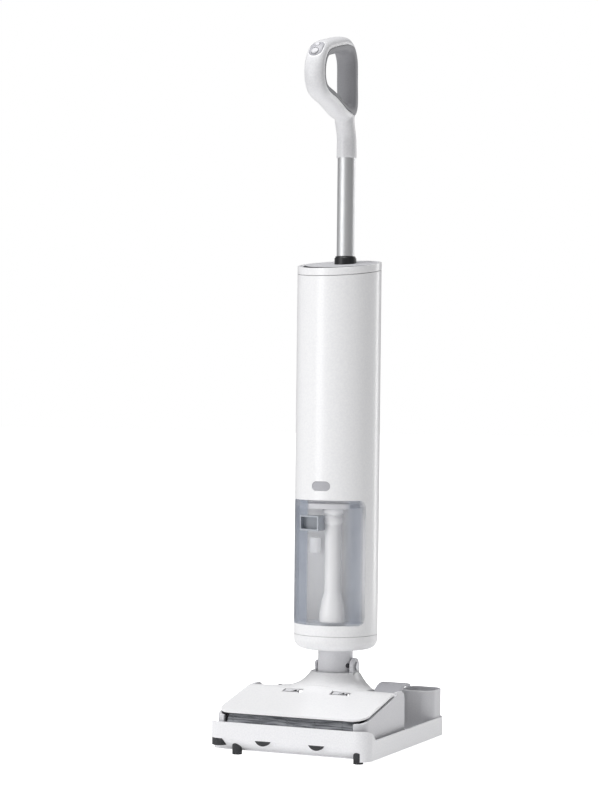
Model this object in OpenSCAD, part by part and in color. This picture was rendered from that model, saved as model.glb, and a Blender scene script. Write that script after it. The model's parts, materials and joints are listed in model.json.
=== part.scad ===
/* [Body] */
// Outer radius of the round body
body_r = 66; // [64:0.5:67]
// Wall thickness of the white body shells
wall = 3; // [2.6:0.1:3.2]
// Height of the body's underside above the floor
body_z0 = 150; // [149.5:0.5:151]
// Height of the seam between the base cup and the main shell
base_seam_z = 173; // [171:0.5:176]
// Height of the front edge of the slanted top
top_front_z = 743; // [738:1:748]
// Tilt of the top face, low at the front
top_tilt = 8.5; // [6:0.5:10]
// Depth of the groove line under the top rim
rim_depth = 12; // [10:0.5:14]

/* [Dirty water tank] */
// Lowest edge of the tank window
tank_z0 = 190; // [188:0.5:192]
// Highest edge of the tank window
tank_z1 = 384; // [380:0.5:386]
// Half width of the tank window
tank_half_w = 60.2; // [58:0.2:61]
// How far the tank pulls out
tank_travel = 110; // [60:5:120]
// Height of the release button above the floor
release_z = 406; // [402:0.5:410]

/* [Clean water tank] */
// Lowest edge of the clean water tank
clean_z0 = 452; // [448:1:456]
// Highest edge of the clean water tank
clean_z1 = 694; // [690:1:696]
// Half width of the clean water tank
clean_half_w = 46; // [42:0.5:48]

/* [Handle] */
// Radius of the aluminium tube
tube_r = 14; // [13:0.5:14]
// Height of the tube's visible top end
tube_top_z = 922; // [915:1:925]
// Width of the handle loop across the hand
loop_w = 33; // [30:0.5:35]
// Thickness of the handle loop in its own plane
loop_t = 25; // [23:0.5:26]

/* [Neck] */
// Radius of the round neck
neck_r = 27.5; // [27:0.1:27.6]
// Height of the tilt axis above the floor
pivot_z = 123; // [122.5:0.1:123.5]
// Radius of the tilt pins
pin_r = 4; // [3.5:0.1:4.5]

/* [Floor head] */
// Half width of the white cover
cover_half_w = 121.5; // [120:0.5:122]
// Outer half width across the grey end plates
plate_half_w = 123; // [122:0.5:124]
// Height of the cover's front edge
cover_front_z = 66; // [65.5:0.1:67]
// Radius of the roller
roller_r = 28; // [27:0.1:28]
// Radius of the belt pulley on the roller
roller_pulley_r = 11; // [10:0.5:12]
// Radius of the belt pulley on the roller's motor
motor_pulley_r = 7; // [6:0.5:8]
// Half length of the roller's fleece
roller_half_l = 103; // [100:0.5:103]
// Radius of a rear wheel
wheel_r = 37; // [36:0.1:37]

/* [Dock] */
// Width of the tray
tray_w = 264; // [263:0.5:268]
// Length of the tray
tray_l = 336; // [335:0.5:340]
// Height of the tray's side rim
rim_z = 34; // [31:0.5:37]
// Height of the tray's front wall
front_wall_z = 50; // [48:0.5:51]
// Height of the accessory cup
cup_z = 79; // [70:1:85]

/* [Hidden] */
body_y = 18;             // body axis, behind the middle of the tray
slot_gap = 0.35;         // gap round a piece that slides
roller_y = -132;
roller_z = roller_r + 12;
belt_span = norm([-60 - roller_y, 46 - roller_z]);
wheel_y = 26;
wheel_z = wheel_r + 12;
wheel_x0 = 78;
wheel_x1 = 100;
tube_y = body_y + 23;
top_slope = tan(top_tilt);
top_mid_z = top_front_z + body_r * top_slope;
plate_y0 = -164.5;
cover_y0 = -158;
cover_y1 = -40;
cover_slope = 0.222;
neck_top_z = body_z0 - 0.3;
eps = 0.05;
$fn = 96;

// ---------- helpers ----------

// A profile drawn as (y, z), carried along X from x0 to x1
module along_x(x0, x1) {
    translate([x0, 0, 0]) rotate([90, 0, 90]) linear_extrude(x1 - x0) children();
}

// A profile drawn as (x, z), carried along Y from y0 to y1
module along_y(y0, y1) {
    translate([0, y1, 0]) rotate([90, 0, 0]) linear_extrude(y1 - y0) children();
}

// A round bar along X
module bar_x(r, x0, x1) {
    translate([x0, 0, 0]) rotate([0, 90, 0]) cylinder(r = r, h = x1 - x0);
}

// A ring along X
module ring_x(r_out, r_in, x0, x1) {
    difference() {
        bar_x(r_out, x0, x1);
        bar_x(r_in, x0 - 1, x1 + 1);
    }
}

// A rectangle from (x0, y0) to (x1, y1) with one radius at the low y end and one at the high
module rounded_plan(x0, x1, y0, y1, r_low, r_high) {
    translate([x0 + r_low, y0]) square([x1 - x0 - 2 * r_low, r_low + eps]);
    translate([x0, y0 + r_low]) square([x1 - x0, y1 - y0 - r_low - r_high]);
    translate([x0 + r_high, y1 - r_high - eps]) square([x1 - x0 - 2 * r_high, r_high + eps]);
    for (x = [x0 + r_low, x1 - r_low]) translate([x, y0 + r_low]) circle(r_low);
    for (x = [x0 + r_high, x1 - r_high]) translate([x, y1 - r_high]) circle(r_high);
}

// A block with rounded vertical corners
module rounded_block(x0, x1, y0, y1, z0, z1, r) {
    translate([0, 0, z0]) linear_extrude(z1 - z0) rounded_plan(x0, x1, y0, y1, r, r);
}

module on_axis() { translate([0, body_y, 0]) children(); }
module at_roller() { translate([0, roller_y, roller_z]) children(); }
module at_pivot() { translate([0, body_y, pivot_z]) children(); }
module at_wheel() { translate([0, wheel_y, wheel_z]) children(); }
module mirror_x() { children(); mirror([1, 0, 0]) children(); }

// ---------- dock ----------

under_z = 25;            // lower edge of the tray's front face
under_x0 = -140;         // the undercut wraps the left corner
under_x1 = 119;          // and stops short of the right one
under_y = -141;
trough_r = roller_r + 1.5;
trough_out_r = trough_r + 4.5;
trough_end = 105;
floor_z = 10.5;
tray_corner = 22;
tray_wall = 3;
pocket_z = under_z + 3;  // floor of the pockets beside the trough
pocket_y = under_y + 2;
foot_r = 7.5;
FEET = [[-89, -150, 18], [110, -150, 18], [-99, 128, 5], [99, 128, 5]];
corner_pad = [-117, -154];

module tray_plan(inset, y0) {
    rounded_plan(-tray_w / 2 + inset, tray_w / 2 - inset, y0, tray_l / 2 - inset,
        tray_corner - inset, tray_corner - inset + 0.4);
}

module tray_base() color("whitesmoke") difference() {
    intersection() {
        translate([0, 0, 5]) linear_extrude(front_wall_z - 5) tray_plan(0, -tray_l / 2);
        along_x(-tray_w / 2 - 1, tray_w / 2 + 1) polygon([
            [-tray_l / 2 - 1, 0], [tray_l / 2 + 1, 0], [tray_l / 2 + 1, rim_z],
            [-134, rim_z], [-148, front_wall_z - 4], [-160, front_wall_z], [-tray_l / 2 - 1, front_wall_z]
        ]);
    }
    // the bay that the floor head stands in
    translate([0, 0, roller_z]) linear_extrude(60) tray_plan(tray_wall, -tray_l / 2 + 2.6);
    translate([0, 0, pocket_z]) linear_extrude(60) difference() {
        tray_plan(tray_wall, -tray_l / 2 + 2.6);
        translate([-trough_end, -tray_l]) square([2 * trough_end, tray_l + roller_y]);
    }
    translate([0, 0, floor_z]) linear_extrude(60) difference() {
        rounded_plan(-tray_w / 2 + tray_wall, tray_w / 2 - tray_wall, pocket_y, tray_l / 2 - tray_wall,
            4, tray_corner - tray_wall + 0.4);
        translate([-trough_end, -tray_l]) square([2 * trough_end, tray_l + roller_y]);
    }
    at_roller() bar_x(trough_r, -trough_end - 1, trough_end + 1);
    // the undercut below the front face follows the trough
    difference() {
        translate([under_x0, -tray_l / 2 - 1, -1])
            cube([under_x1 - under_x0, under_y + tray_l / 2 + 1, under_z + 1]);
        at_roller() bar_x(trough_out_r, -trough_end - 15, trough_end + 15);
    }
}

module tray_feet() color("dimgray") difference() {
    for (f = FEET) translate([f[0], f[1], 0]) cylinder(r = foot_r, h = f[2]);
    at_roller() bar_x(trough_out_r + 0.05, -120, 120);
}

module grip_pads() color("dimgray") difference() {
    union() {
        for (x = [-40, 48]) translate([x, -156, 31]) rotate([90, 0, 0]) cylinder(r = 14, h = 12);
        translate([corner_pad[0], corner_pad[1], 13.5]) cylinder(r = 11.5, h = 11.45);
    }
    translate([-150, -190, under_z - 0.05]) cube([300, 60, 40]);
    at_roller() bar_x(trough_out_r + 0.1, -120, 120);
    translate([-150, -190, -5]) cube([300, 24, 60]);
}

module charge_posts() color("goldenrod")
    for (x = [-12, 12]) translate([x, 60, floor_z]) cylinder(r = 3, h = 3.5);

module power_socket() color("dimgray") difference() {
    translate([-70, tray_l / 2 - 14, 13]) cube([16, 11, 14]);
    translate([-62, tray_l / 2 - 2, 20]) rotate([90, 0, 0]) cylinder(r = 3, h = 8);
}

module accessory_cup() color("gainsboro") difference() {
    rounded_block(71, 128.6, 106, 164.6, floor_z + 0.3, cup_z, 19);
    rounded_block(73.5, 126.1, 108.5, 162.1, floor_z + 3, cup_z + 1, 16.5);
}

// ---------- floor head ----------

// Underside of the cover at a given place along Y
function cover_z(y) = cover_front_z + (y - cover_y0) * cover_slope;

module cover_profile(y0, y1) {
    polygon([[y0, cover_z(y0) - 3], [y1, cover_z(y1) - 3], [y1, cover_z(y1)], [y0, cover_z(y0)]]);
}

module roller_cover() color("white") difference() {
    intersection() {
        union() {
            along_x(-cover_half_w, cover_half_w) cover_profile(cover_y0, cover_y1 - 0.3);
            along_x(-cover_half_w, cover_half_w) polygon([
                [cover_y0, cover_front_z - 5], [cover_y0 + 3, cover_front_z - 5],
                [cover_y0 + 3, cover_front_z - 1], [cover_y0, cover_front_z - 1]
            ]);
        }
        translate([0, 0, 40]) linear_extrude(80)
            rounded_plan(-cover_half_w, cover_half_w, cover_y0, cover_y1 + 40, 22, 1);
    }
    for (x = [-40, 40]) translate([x - 16, -62, 70]) cube([32, 14, 40]);
}

flare_top_z = 114;
flare_top_r = 38;

// Concave quarter ellipse from the neck out to the cover
module flare_profile() {
    polygon(concat(
        [for (a = [0:6:90]) [flare_top_r + 26 * (1 - cos(a)), flare_top_z - 23 * sin(a)]],
        [[flare_top_r + 26, 80], [0, 80], [0, flare_top_z]]
    ));
}

module neck_cover() color("white") difference() {
    union() {
        along_x(-cover_half_w, cover_half_w) polygon([
            [cover_y1, cover_z(cover_y1) - 3], [-20, 89.6], [10, 86], [36, 77],
            [36, 80], [10, 89], [-20, 92.8], [cover_y1, cover_z(cover_y1)]
        ]);
        intersection() {
            on_axis() rotate_extrude() flare_profile();
            translate([-cover_half_w, cover_y1, 80]) cube([2 * cover_half_w, body_y - cover_y1 + 10, 60]);
        }
    }
    on_axis() translate([0, 0, 60]) cylinder(r = 37, h = 50.5);
    on_axis() translate([0, 0, 60]) cylinder(r = 30.5, h = 80);
    translate([-37.6, body_y - 14.5, 60]) cube([75.2, 80, 80]);
    mirror_x() translate([73, -30, 60]) cube([60, 80, 50]);
}

module end_plate() color("darkgray") intersection() {
    along_x(0, plate_half_w + 1) polygon([
        [-170, pocket_z + 1], [-170, cover_front_z - 5.8], [-154, cover_front_z - 5.8],
        [-29, cover_z(-40) - 4.2], [-28, 92.5], [-8, 92.5], [1, 88], [4, 80],
        [5, 50], [4, 16], [pocket_y + 4, 16], [pocket_y + 1, 20], [pocket_y + 1, pocket_z + 1]
    ]);
    translate([0, 0, 10]) linear_extrude(100) difference() {
        rounded_plan(-plate_half_w, plate_half_w, plate_y0, 6, 24, 1);
        rounded_plan(-plate_half_w + 5.5, plate_half_w - 5.5, plate_y0 + 5.5, 30, 18.5, 1);
        translate([-106, -200]) square([212, 220]);
    }
}
module end_plate_right() end_plate();
module end_plate_left() mirror([1, 0, 0]) end_plate();

// Arch over the wheel on the belt side, joined to the end plate's hump
module wheel_fender() color("silver") at_wheel() difference() {
    ring_x(wheel_r + 14.5, wheel_r + 10, wheel_x0 - 3, plate_half_w - 5.8);
    translate([0, -80, -80]) cube([200, 160, 100]);
    // the arch ends a little behind the top
    rotate([-22, 0, 0]) translate([0, 0, -60]) cube([200, 80, 160]);
}

module head_chassis() color("gray") {
    difference() {
        translate([-111, -97, 15.5]) cube([222, 143, 3]);
        mirror_x() translate([wheel_x0 - 4, wheel_y - 45, 10]) cube([wheel_x1 - wheel_x0 + 8, 100, 20]);
        for (x = [-12, 12]) translate([x, 60 - 18, 10]) cylinder(r = 3.4, h = 20);
    }
    difference() {
        mirror_x() along_x(107.5, 110.6) polygon([
            [-150, pocket_z + 2], [-150, 50], [-130, 66], [-40, 85], [-24, 84], [-24, 17], [-96, 17],
            [-118, 16.2], [pocket_y + 6, 16.2], [pocket_y + 3, pocket_z + 2]
        ]);
        at_roller() bar_x(5.3, -120, 120);
        at_motor() bar_x(3.08, 100, 120);
    }
    // arch round the back of the roller, with its foot on the floor plate
    difference() {
        union() {
            at_roller() bar_x(roller_r + 4.5, -108, 108);
            translate([-108, -110, 17]) cube([216, 14.5, 24]);
        }
        at_roller() bar_x(roller_r + 2, -140, 140);
        translate([-120, -200, 0]) cube([240, 200 + roller_y + 12, 100]);
        translate([-120, -200, 0]) cube([240, 92, 22]);
        translate([-30, -115, 28]) cube([60, 30, 24]);
    }
    translate([-72, 43, 17]) cube([144, 2.5, 40]);
    mirror_x() translate([104.5, -44, 17]) cube([3.5, 20, 60]);
}

module wiper_blade() color("dimgray") along_x(-103, 103) polygon([
    [-98, 41.1], [-96.5, 41.1], [-96.5, 58], [-103.4, 58], [-103.9, 56.8], [-98, 56.8]
]);

module spray_bar() color("gainsboro") difference() {
    translate([0, -106, 69]) bar_x(2.8, -90, 90);
    for (x = [-75:25:75]) translate([x, -106, 65]) cylinder(r = 0.8, h = 4);
}

module suction_duct() color("dimgray") difference() {
    union() {
        translate([-29, -94.5, 28.5]) cube([58, 70, 23]);
        translate([-20, -30, 28.5]) cube([40, 68, 23]);
        on_axis() translate([0, 0, 51]) cylinder(r = 20, h = 36);
    }
    translate([-26.5, -96, 31]) cube([53, 69, 18]);
    translate([-17.5, -31, 31]) cube([35, 66, 18]);
    on_axis() translate([0, 0, 40]) cylinder(r = 17, h = 60);
}

module at_motor() { translate([0, -60, 46]) children(); }

module roller_motor() color("slategray") at_motor() bar_x(16, 40, 104);

module motor_pulley() color("dimgray") at_motor() {
    bar_x(3, 104.3, 112);
    bar_x(motor_pulley_r, 111.2, 115.8);
}

// Closed belt outline round two circles, the second one belt_span away along the first axis
module belt_loop(r1, r2) {
    lean = acos((r1 - r2) / belt_span);
    circle(r1);
    translate([belt_span, 0]) circle(r2);
    polygon([
        [r1 * cos(lean), r1 * sin(lean)], [r1 * cos(lean), -r1 * sin(lean)],
        [belt_span + r2 * cos(lean), -r2 * sin(lean)], [belt_span + r2 * cos(lean), r2 * sin(lean)]
    ]);
}

module drive_belt() color("dimgray") translate([0, roller_y, roller_z])
    rotate([atan2(46 - roller_z, -60 - roller_y), 0, 0]) along_x(111.6, 115.4) difference() {
        belt_loop(roller_pulley_r + 1.8, motor_pulley_r + 1.8);
        belt_loop(roller_pulley_r + 0.3, motor_pulley_r + 0.3);
    }

// One ear of the fork, out from the neck between x0 and x1, with a boss of radius r
module fork_ear(x0, x1, r) {
    along_x(x0, x1) {
        translate([body_y, pivot_z]) circle(r = r);
        translate([body_y - r, 18.6]) square([2 * r, pivot_z - 18.6]);
    }
}

module neck_fork() color("gainsboro") difference() {
    union() {
        fork_ear(28.8, 36, 13);
        fork_ear(-32.2, -28.8, 7);
        translate([-32.2, body_y - 13, 18.6]) cube([68.2, 26, 6]);
    }
    at_pivot() bar_x(pin_r + 0.05, -50, 50);
}

module tilt_pins() color("silver") at_pivot() {
    bar_x(pin_r, 21.5, 36.2);
    bar_x(7, 36.2, 38.4);
    bar_x(pin_r, -32.4, -21.5);
    bar_x(5.5, -33.4, -32.4);
}

module head_screws() color("silver")
    for (x = [-64, 64], y = [-88, 30]) translate([x, y, 13.6]) {
        cylinder(r = 3.2, h = 1.8);
        cylinder(r = 1.4, h = 1.9);
    }

module latch() color("lightgray") {
    translate([28, -60, cover_z(-60) - 2.4]) rotate([atan(cover_slope), 0, 0]) cube([11, 9, 4.2]);
    translate([39.3, -60, cover_z(-60) - 2.4]) rotate([atan(cover_slope), 0, 0]) cube([10, 9, 3]);
}
module latch_right() latch();
module latch_left() translate([-80, 0, 0]) latch();

module wheel() color("silver") at_wheel() difference() {
    union() {
        ring_x(30, 26, wheel_x0 + 1.5, wheel_x1 - 1.5);
        ring_x(26.5, 4.05, wheel_x0 + 8, wheel_x0 + 12);
        ring_x(9, 4.05, wheel_x0 + 1.5, wheel_x1 - 1.5);
    }
    for (a = [0:60:300]) rotate([a, 0, 0]) translate([0, 17.5, 0]) bar_x(4.5, 70, 110);
}
module wheel_right() wheel();
module wheel_left() mirror([1, 0, 0]) wheel();

module tyre() color("dimgray") at_wheel() difference() {
    ring_x(wheel_r, 30.05, wheel_x0, wheel_x1);
    for (a = [0:15:345]) rotate([a, 0, 0]) translate([wheel_x0 + 5, -1.2, wheel_r - 1.4])
        cube([wheel_x1 - wheel_x0 - 10, 2.4, 4]);
}
module tyre_right() tyre();
module tyre_left() mirror([1, 0, 0]) tyre();

module wheel_axles() color("silver") at_wheel() mirror_x() {
    bar_x(4, wheel_x0 - 3, wheel_x1 + 1);
    bar_x(6, wheel_x1 + 0.6, wheel_x1 + 2.4);
    translate([wheel_x0 - 6, -5, 18.6 - wheel_z]) cube([3, 10, wheel_z - 13.6]);
}

// ---------- roller ----------

module roller_fleece() color("gray") at_roller()
    ring_x(roller_r, 20.05, -roller_half_l, roller_half_l);

module roller_core() color("gainsboro") at_roller() {
    ring_x(20, 17, -roller_half_l - 1, roller_half_l + 1);
    for (x = [-104, 100]) ring_x(17.2, 5.2, x, x + 4);
    difference() {
        bar_x(5.2, -110, -98);
        bar_x(2, -111, -101);
    }
}

module roller_pulley() color("dimgray") at_roller() {
    bar_x(5.15, 98, 112);
    bar_x(roller_pulley_r, 111.2, 115.8);
}

// ---------- neck ----------

module neck_tube() color("lightgray") difference() {
    union() {
        on_axis() translate([0, 0, pivot_z - 11]) cylinder(r = neck_r, h = neck_top_z - pivot_z + 11);
        on_axis() translate([0, 0, neck_top_z - 1]) cylinder(r = 24, h = 13);
    }
    on_axis() translate([0, 0, 100]) cylinder(r = 19, h = 80);
    at_pivot() bar_x(pin_r + 0.05, -40, 40);
}

module suction_hose() color("dimgray") difference() {
    on_axis() translate([0, 0, 113]) rotate_extrude() polygon(concat(
        [[14, 0]],
        [for (i = [0:1:27]) [16.2 + 1.6 * (i % 2), i * 1.6]],
        [[14, 27 * 1.6]]
    ));
    at_pivot() bar_x(pin_r + 0.3, -40, 40);
}

// ---------- body ----------

// A cylinder on the body axis, cut by the slanted plane that is dz from the top face
module slant_cut(r, z0, dz) {
    intersection() {
        on_axis() translate([0, 0, z0]) cylinder(r = r, h = 800 - z0);
        along_x(-100, 100) polygon([
            [body_y - 80, 0], [body_y + 80, 0],
            [body_y + 80, top_mid_z + dz + 80 * top_slope], [body_y - 80, top_mid_z + dz - 80 * top_slope]
        ]);
    }
}

// Window outline with corners that look round on the curved wall
module window_outline(half_w, z0, z1, rx, rz) {
    polygon([
        for (q = [[1, 1, 0], [-1, 1, 90], [-1, -1, 180], [1, -1, 270]])
            for (a = [0:10:90])
                [q[0] * (half_w - rx) + rx * cos(q[2] + a), (z0 + z1) / 2
                    + q[1] * ((z1 - z0) / 2 - rz) + rz * sin(q[2] + a)]
    ]);
}

module body_base() color("whitesmoke") on_axis() difference() {
    rotate_extrude() difference() {
        union() {
            translate([0, body_z0 + 16]) square([body_r, base_seam_z - body_z0 - 16]);
            translate([0, body_z0]) square([body_r - 16, 20]);
            translate([body_r - 16, body_z0 + 16]) circle(16);
        }
        translate([-50, body_z0 - 20]) square([50, 80]);
        translate([0, base_seam_z]) square([body_r + 10, 20]);
        translate([30, body_z0 + 4]) square([body_r - 16 - 30, 40]);
        translate([body_r - 19, body_z0 + 16]) square([16, 40]);
        translate([body_r - 16, body_z0 + 16]) circle(13);
        translate([0, body_z0 - 20]) square([24.3, 80]);
    }
}

module body_shell() color("white") difference() {
    slant_cut(body_r, base_seam_z + 0.6, -rim_depth);
    slant_cut(body_r - wall, base_seam_z - 9, 20);
    // the two tank bays, through the front and through the back
    along_y(body_y - 90, body_y - 5) window_outline(tank_half_w, tank_z0, tank_z1, 6, 13);
    along_y(body_y + 5, body_y + 90) window_outline(clean_half_w, clean_z0, clean_z1, 8, 12);
    along_y(body_y - 90, body_y - 40) button_outline(0.3);
}

// Pill outline of the release button
module button_outline(grow) {
    for (x = [-8, 8]) translate([x, release_z]) circle(7 + grow);
    translate([-8, release_z - 7 - grow]) square([16, 14 + 2 * grow]);
}

module release_button() color("silver") {
    intersection() {
        along_y(body_y - 90, body_y - 56) button_outline(0);
        on_axis() translate([0, 0, release_z - 20]) cylinder(r = body_r - 0.3, h = 40);
    }
    translate([-11, body_y - 57, release_z - 8.6]) cube([22, 2.4, 17.2]);
}

// Plastic walls behind and above the dirty water tank
module tank_bay() color("gainsboro") intersection() {
    on_axis() translate([0, 0, 150]) cylinder(r = body_r - wall - 0.3, h = 400);
    union() {
        translate([-70, body_y - 3, tank_z0 - 4]) cube([140, 2.5, tank_z1 - tank_z0 + 8]);
        translate([-70, body_y - 80, tank_z0 - 4]) cube([140, 77, 2.6]);
        translate([-70, body_y - 80, tank_z1 + 1.4]) cube([140, 77, 2.6]);
    }
}

module top_rim() color("white") difference() {
    slant_cut(body_r, 700, 0);
    slant_cut(body_r - wall, 690, -3);
    slant_cut(body_r + 1, 600, -rim_depth + 0.8);
    slant_cut(body_r - 4, 690, 20);
}

module top_plate() color("lightgray") difference() {
    slant_cut(body_r - 4.2, 700, -1);
    slant_cut(body_r + 1, 600, -4);
    translate([0, tube_y, 600]) cylinder(r = 17.6, h = 300);
    display_cut(0.2);
}

// Crescent of the dark display at the front of the top
module display_cut(grow) {
    difference() {
        on_axis() translate([0, 0, 700]) cylinder(r = body_r - 9 + grow, h = 100);
        translate([0, body_y + 22, 690]) cylinder(r = 62 - grow, h = 120);
    }
}

module display_panel() color("dimgray") intersection() {
    difference() {
        slant_cut(body_r - 4.2, 700, -0.8);
        slant_cut(body_r + 1, 600, -3.8);
    }
    display_cut(0);
}

module tube_collar() color("dimgray") translate([0, tube_y, 0]) difference() {
    union() {
        translate([0, 0, 738]) cylinder(r = 17.3, h = 26);
        translate([0, 0, 764]) cylinder(r = 16, h = 2.5);
    }
    translate([0, 0, 730]) cylinder(r = tube_r + 0.1, h = 50);
}

module battery_pack() color("steelblue") {
    for (x = [-19.5, 0, 19.5]) for (y = [-38, -18.5])
        translate([x, body_y + y, 480]) cylinder(r = 9.25, h = 65);
    for (x = [-19.5, 0, 19.5]) for (y = [-38, -18.5])
        translate([x, body_y + y, 548]) cylinder(r = 9.25, h = 65);
    for (z = [477, 545.2, 613.2]) translate([-30, body_y - 49, z]) cube([60, 42, 2.8]);
}

module suction_motor() color("slategray") on_axis() translate([0, -14, 0]) {
    translate([0, 0, 398]) cylinder(r = 20, h = 8);
    translate([0, 0, 406]) cylinder(r = 34, h = 34);
    translate([0, 0, 440]) cylinder(r = 18, h = 30);
}

module motor_seal() color("dimgray") on_axis() translate([0, -14, 388.2]) difference() {
    cylinder(r = 24, h = 9.7);
    translate([0, 0, -1]) cylinder(r = 18, h = 12);
}

module control_board() color("seagreen") {
    translate([-34, body_y - 50, 632]) cube([68, 1.6, 70]);
    for (x = [-22, 0, 22]) translate([x - 5, body_y - 48.4, 650]) cube([10, 8, 12]);
}

module water_pump() color("slategray") translate([0, body_y + 34, 400]) {
    cylinder(r = 13, h = 32);
    translate([0, 0, 32]) cylinder(r = 4, h = 12);
}

// ---------- dirty water tank ----------

// Plan of the tank: the body's circle cut straight at the sides and the back
module tank_plan(inset) {
    intersection() {
        circle(body_r - inset);
        translate([-tank_half_w + slot_gap + inset, -80])
            square([2 * (tank_half_w - slot_gap - inset), 76 - inset]);
    }
}

module dirty_tank() color("lightsteelblue") difference() {
    intersection() {
        on_axis() translate([0, 0, tank_z0 + 0.35]) linear_extrude(tank_z1 - tank_z0 - 0.7) tank_plan(0);
        along_y(body_y - 90, body_y + 20)
            window_outline(tank_half_w - slot_gap, tank_z0 + 0.35, tank_z1 - 0.35, 6, 13);
    }
    on_axis() translate([0, 0, tank_z0 + 3.4]) linear_extrude(tank_z1 - tank_z0 - 14) tank_plan(2.6);
    on_axis() translate([0, 0, tank_z0 + 3.4]) linear_extrude(tank_z1) difference() {
        tank_plan(2.6);
        translate([42, -80]) square([40, 120]);
        translate([-82, -80]) square([40, 120]);
    }
    // window for the grip, in the upper left of the front
    translate([-41, body_y - 80, 336]) cube([38, 40, 24]);
}

module tank_lid() color("gainsboro") difference() {
    on_axis() translate([0, 0, 370.5]) linear_extrude(8) intersection() {
        tank_plan(2.9);
        translate([-41.7, -80]) square([83.4, 120]);
    }
    translate([pipe_x, body_y - 33, 360]) cylinder(r = 13.2, h = 40);
    translate([-24, body_y - 22, 360]) cylinder(r = 9, h = 40);
}

pipe_x = 8;
module inlet_pipe() color("white") translate([pipe_x, body_y - 33, 0]) difference() {
    rotate_extrude() polygon([
        [0, tank_z0 + 3.6], [21, tank_z0 + 3.6], [19, 205], [15, 222], [12.6, 238], [12.6, 360.4],
        [17, 362], [17, 370.2], [12.9, 370.2], [12.9, 380], [0, 380]
    ]);
    translate([0, 0, 180]) cylinder(r = 10.4, h = 190);
    translate([-30, -6, 363.5]) cube([60, 12, 6]);
}

module tank_grip() color("dimgray") difference() {
    intersection() {
        on_axis() translate([0, 0, 336.4]) linear_extrude(23.2) tank_plan(0.1);
        translate([-40.6, body_y - 80, 330]) cube([37.2, 40, 40]);
    }
    intersection() {
        translate([-38.2, body_y - 80, 338.6]) cube([32.4, 37.6, 18.8]);
        on_axis() cylinder(r = 80, h = 400);
    }
}

module tank_float() color("white") translate([-28, body_y - 20, 0]) difference() {
    translate([0, 0, 300]) cylinder(r = 9, h = 24);
    translate([0, 0, 290]) cylinder(r = 6.5, h = 31.5);
}

// ---------- clean water tank ----------

// Plan of the clean tank at the back of the body
module clean_plan(inset) {
    intersection() {
        circle(body_r - inset);
        translate([-clean_half_w + slot_gap + inset, 6 + inset])
            square([2 * (clean_half_w - slot_gap - inset), 80]);
    }
}

module clean_tank() color("lightsteelblue") difference() {
    intersection() {
        on_axis() translate([0, 0, clean_z0 + 0.35])
            linear_extrude(clean_z1 - clean_z0 - 0.7) clean_plan(0);
        along_y(body_y - 20, body_y + 90)
            window_outline(clean_half_w - slot_gap, clean_z0 + 0.35, clean_z1 - 0.35, 8, 12);
    }
    on_axis() translate([0, 0, clean_z0 + 3.2]) linear_extrude(clean_z1 - clean_z0 - 18) clean_plan(2.4);
    translate([0, body_y + 34, 600]) cylinder(r = 10, h = 100);
    // sunk seat of the filler cap
    translate([0, body_y + 34, cap_seat_z]) cylinder(r = 15, h = 20);
}

cap_seat_z = clean_z1 - 10;
module clean_cap() color("gray") translate([0, body_y + 34, cap_seat_z]) {
    translate([0, 0, -4]) cylinder(r = 9.9, h = 5);
    translate([0, 0, 0.1]) cylinder(r = 13, h = 6);
    translate([-9, -1.5, 6]) cube([18, 3, 3]);
}

// ---------- handle ----------

module handle_tube() color("silver") translate([0, tube_y, 702]) difference() {
    cylinder(r = tube_r, h = tube_top_z + 28 - 702);
    translate([0, 0, -1]) cylinder(r = tube_r - 1.5, h = 400);
}

// Middle of the loop's section, as (y, z) from the body axis, round the loop
LOOP = [
    [22.5, 1000], [23.5, 1040], [20.5, 1078], [0, 1096], [-42, 1090], [-88, 1075],
    [-104, 1046], [-94, 1018], [-52, 1006], [-4, 992]
];
loop_steps = 5;          // rings to each stretch between two points
sides = 20;              // corners of the section

function spline(p0, p1, p2, p3, t) = 0.5 * (2 * p1 + (p2 - p0) * t
    + (2 * p0 - 5 * p1 + 4 * p2 - p3) * t * t + (3 * p1 - p0 - 3 * p2 + p3) * t * t * t);
function loop_at(i) = LOOP[(i + len(LOOP)) % len(LOOP)];
function loop_point(k) = let (i = floor(k / loop_steps), t = k / loop_steps - i)
    spline(loop_at(i - 1), loop_at(i), loop_at(i + 1), loop_at(i + 2), t);
rings = len(LOOP) * loop_steps;
function unit(v) = v / norm(v);
function loop_normal(k) = let (t = unit(loop_point(k + 0.1) - loop_point(k - 0.1))) [t[1], -t[0]];
function soft_step(x) = let (c = min(1, max(0, x))) c * c * (3 - 2 * c);
// where the grey lining ends and the white shell begins, outward from the section's middle
function split_at(y) = -1 + 8 * soft_step((y + 2) / 22);
function power(v, p) = sign(v) * pow(abs(v), p);
// the shell is lower under the button pad
function pad_dip(y, z) = 1 - 0.36 * soft_step((25 - norm([y + 93, z - 1070])) / 10);

// A point of the section at angle a, as outward and sideways distances
function section(a, dip) = [loop_t / 2 * dip * power(cos(a), 0.8), loop_w / 2 * power(sin(a), 0.8)];

// One side of the section carried round the loop: the outer side, or the inner one
module loop_sweep(outer) {
    points = [for (k = [0:rings - 1]) for (j = [0:sides - 1])
        let (c = loop_point(k), n = loop_normal(k), dip = outer ? pad_dip(c[0], c[1]) : 1,
            edge = split_at(c[0]) + (outer ? 0.1 : 0),
            lean = acos(power(edge / (loop_t / 2 * dip), 1.25)),
            a = outer ? lean * (2 * j / (sides - 1) - 1) : lean + (360 - 2 * lean) * j / (sides - 1),
            s = section(a, dip))
        [s[1], body_y + c[0] + n[0] * s[0], c[1] + n[1] * s[0]]];
    faces = [for (k = [0:rings - 1]) for (j = [0:sides - 1]) each [
        [k * sides + j, (k + 1) % rings * sides + j, k * sides + (j + 1) % sides],
        [k * sides + (j + 1) % sides, (k + 1) % rings * sides + j,
            (k + 1) % rings * sides + (j + 1) % sides]
    ]];
    polyhedron(points, faces, convexity = 6);
}

module handle_shell() color("white") loop_sweep(true);

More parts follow.
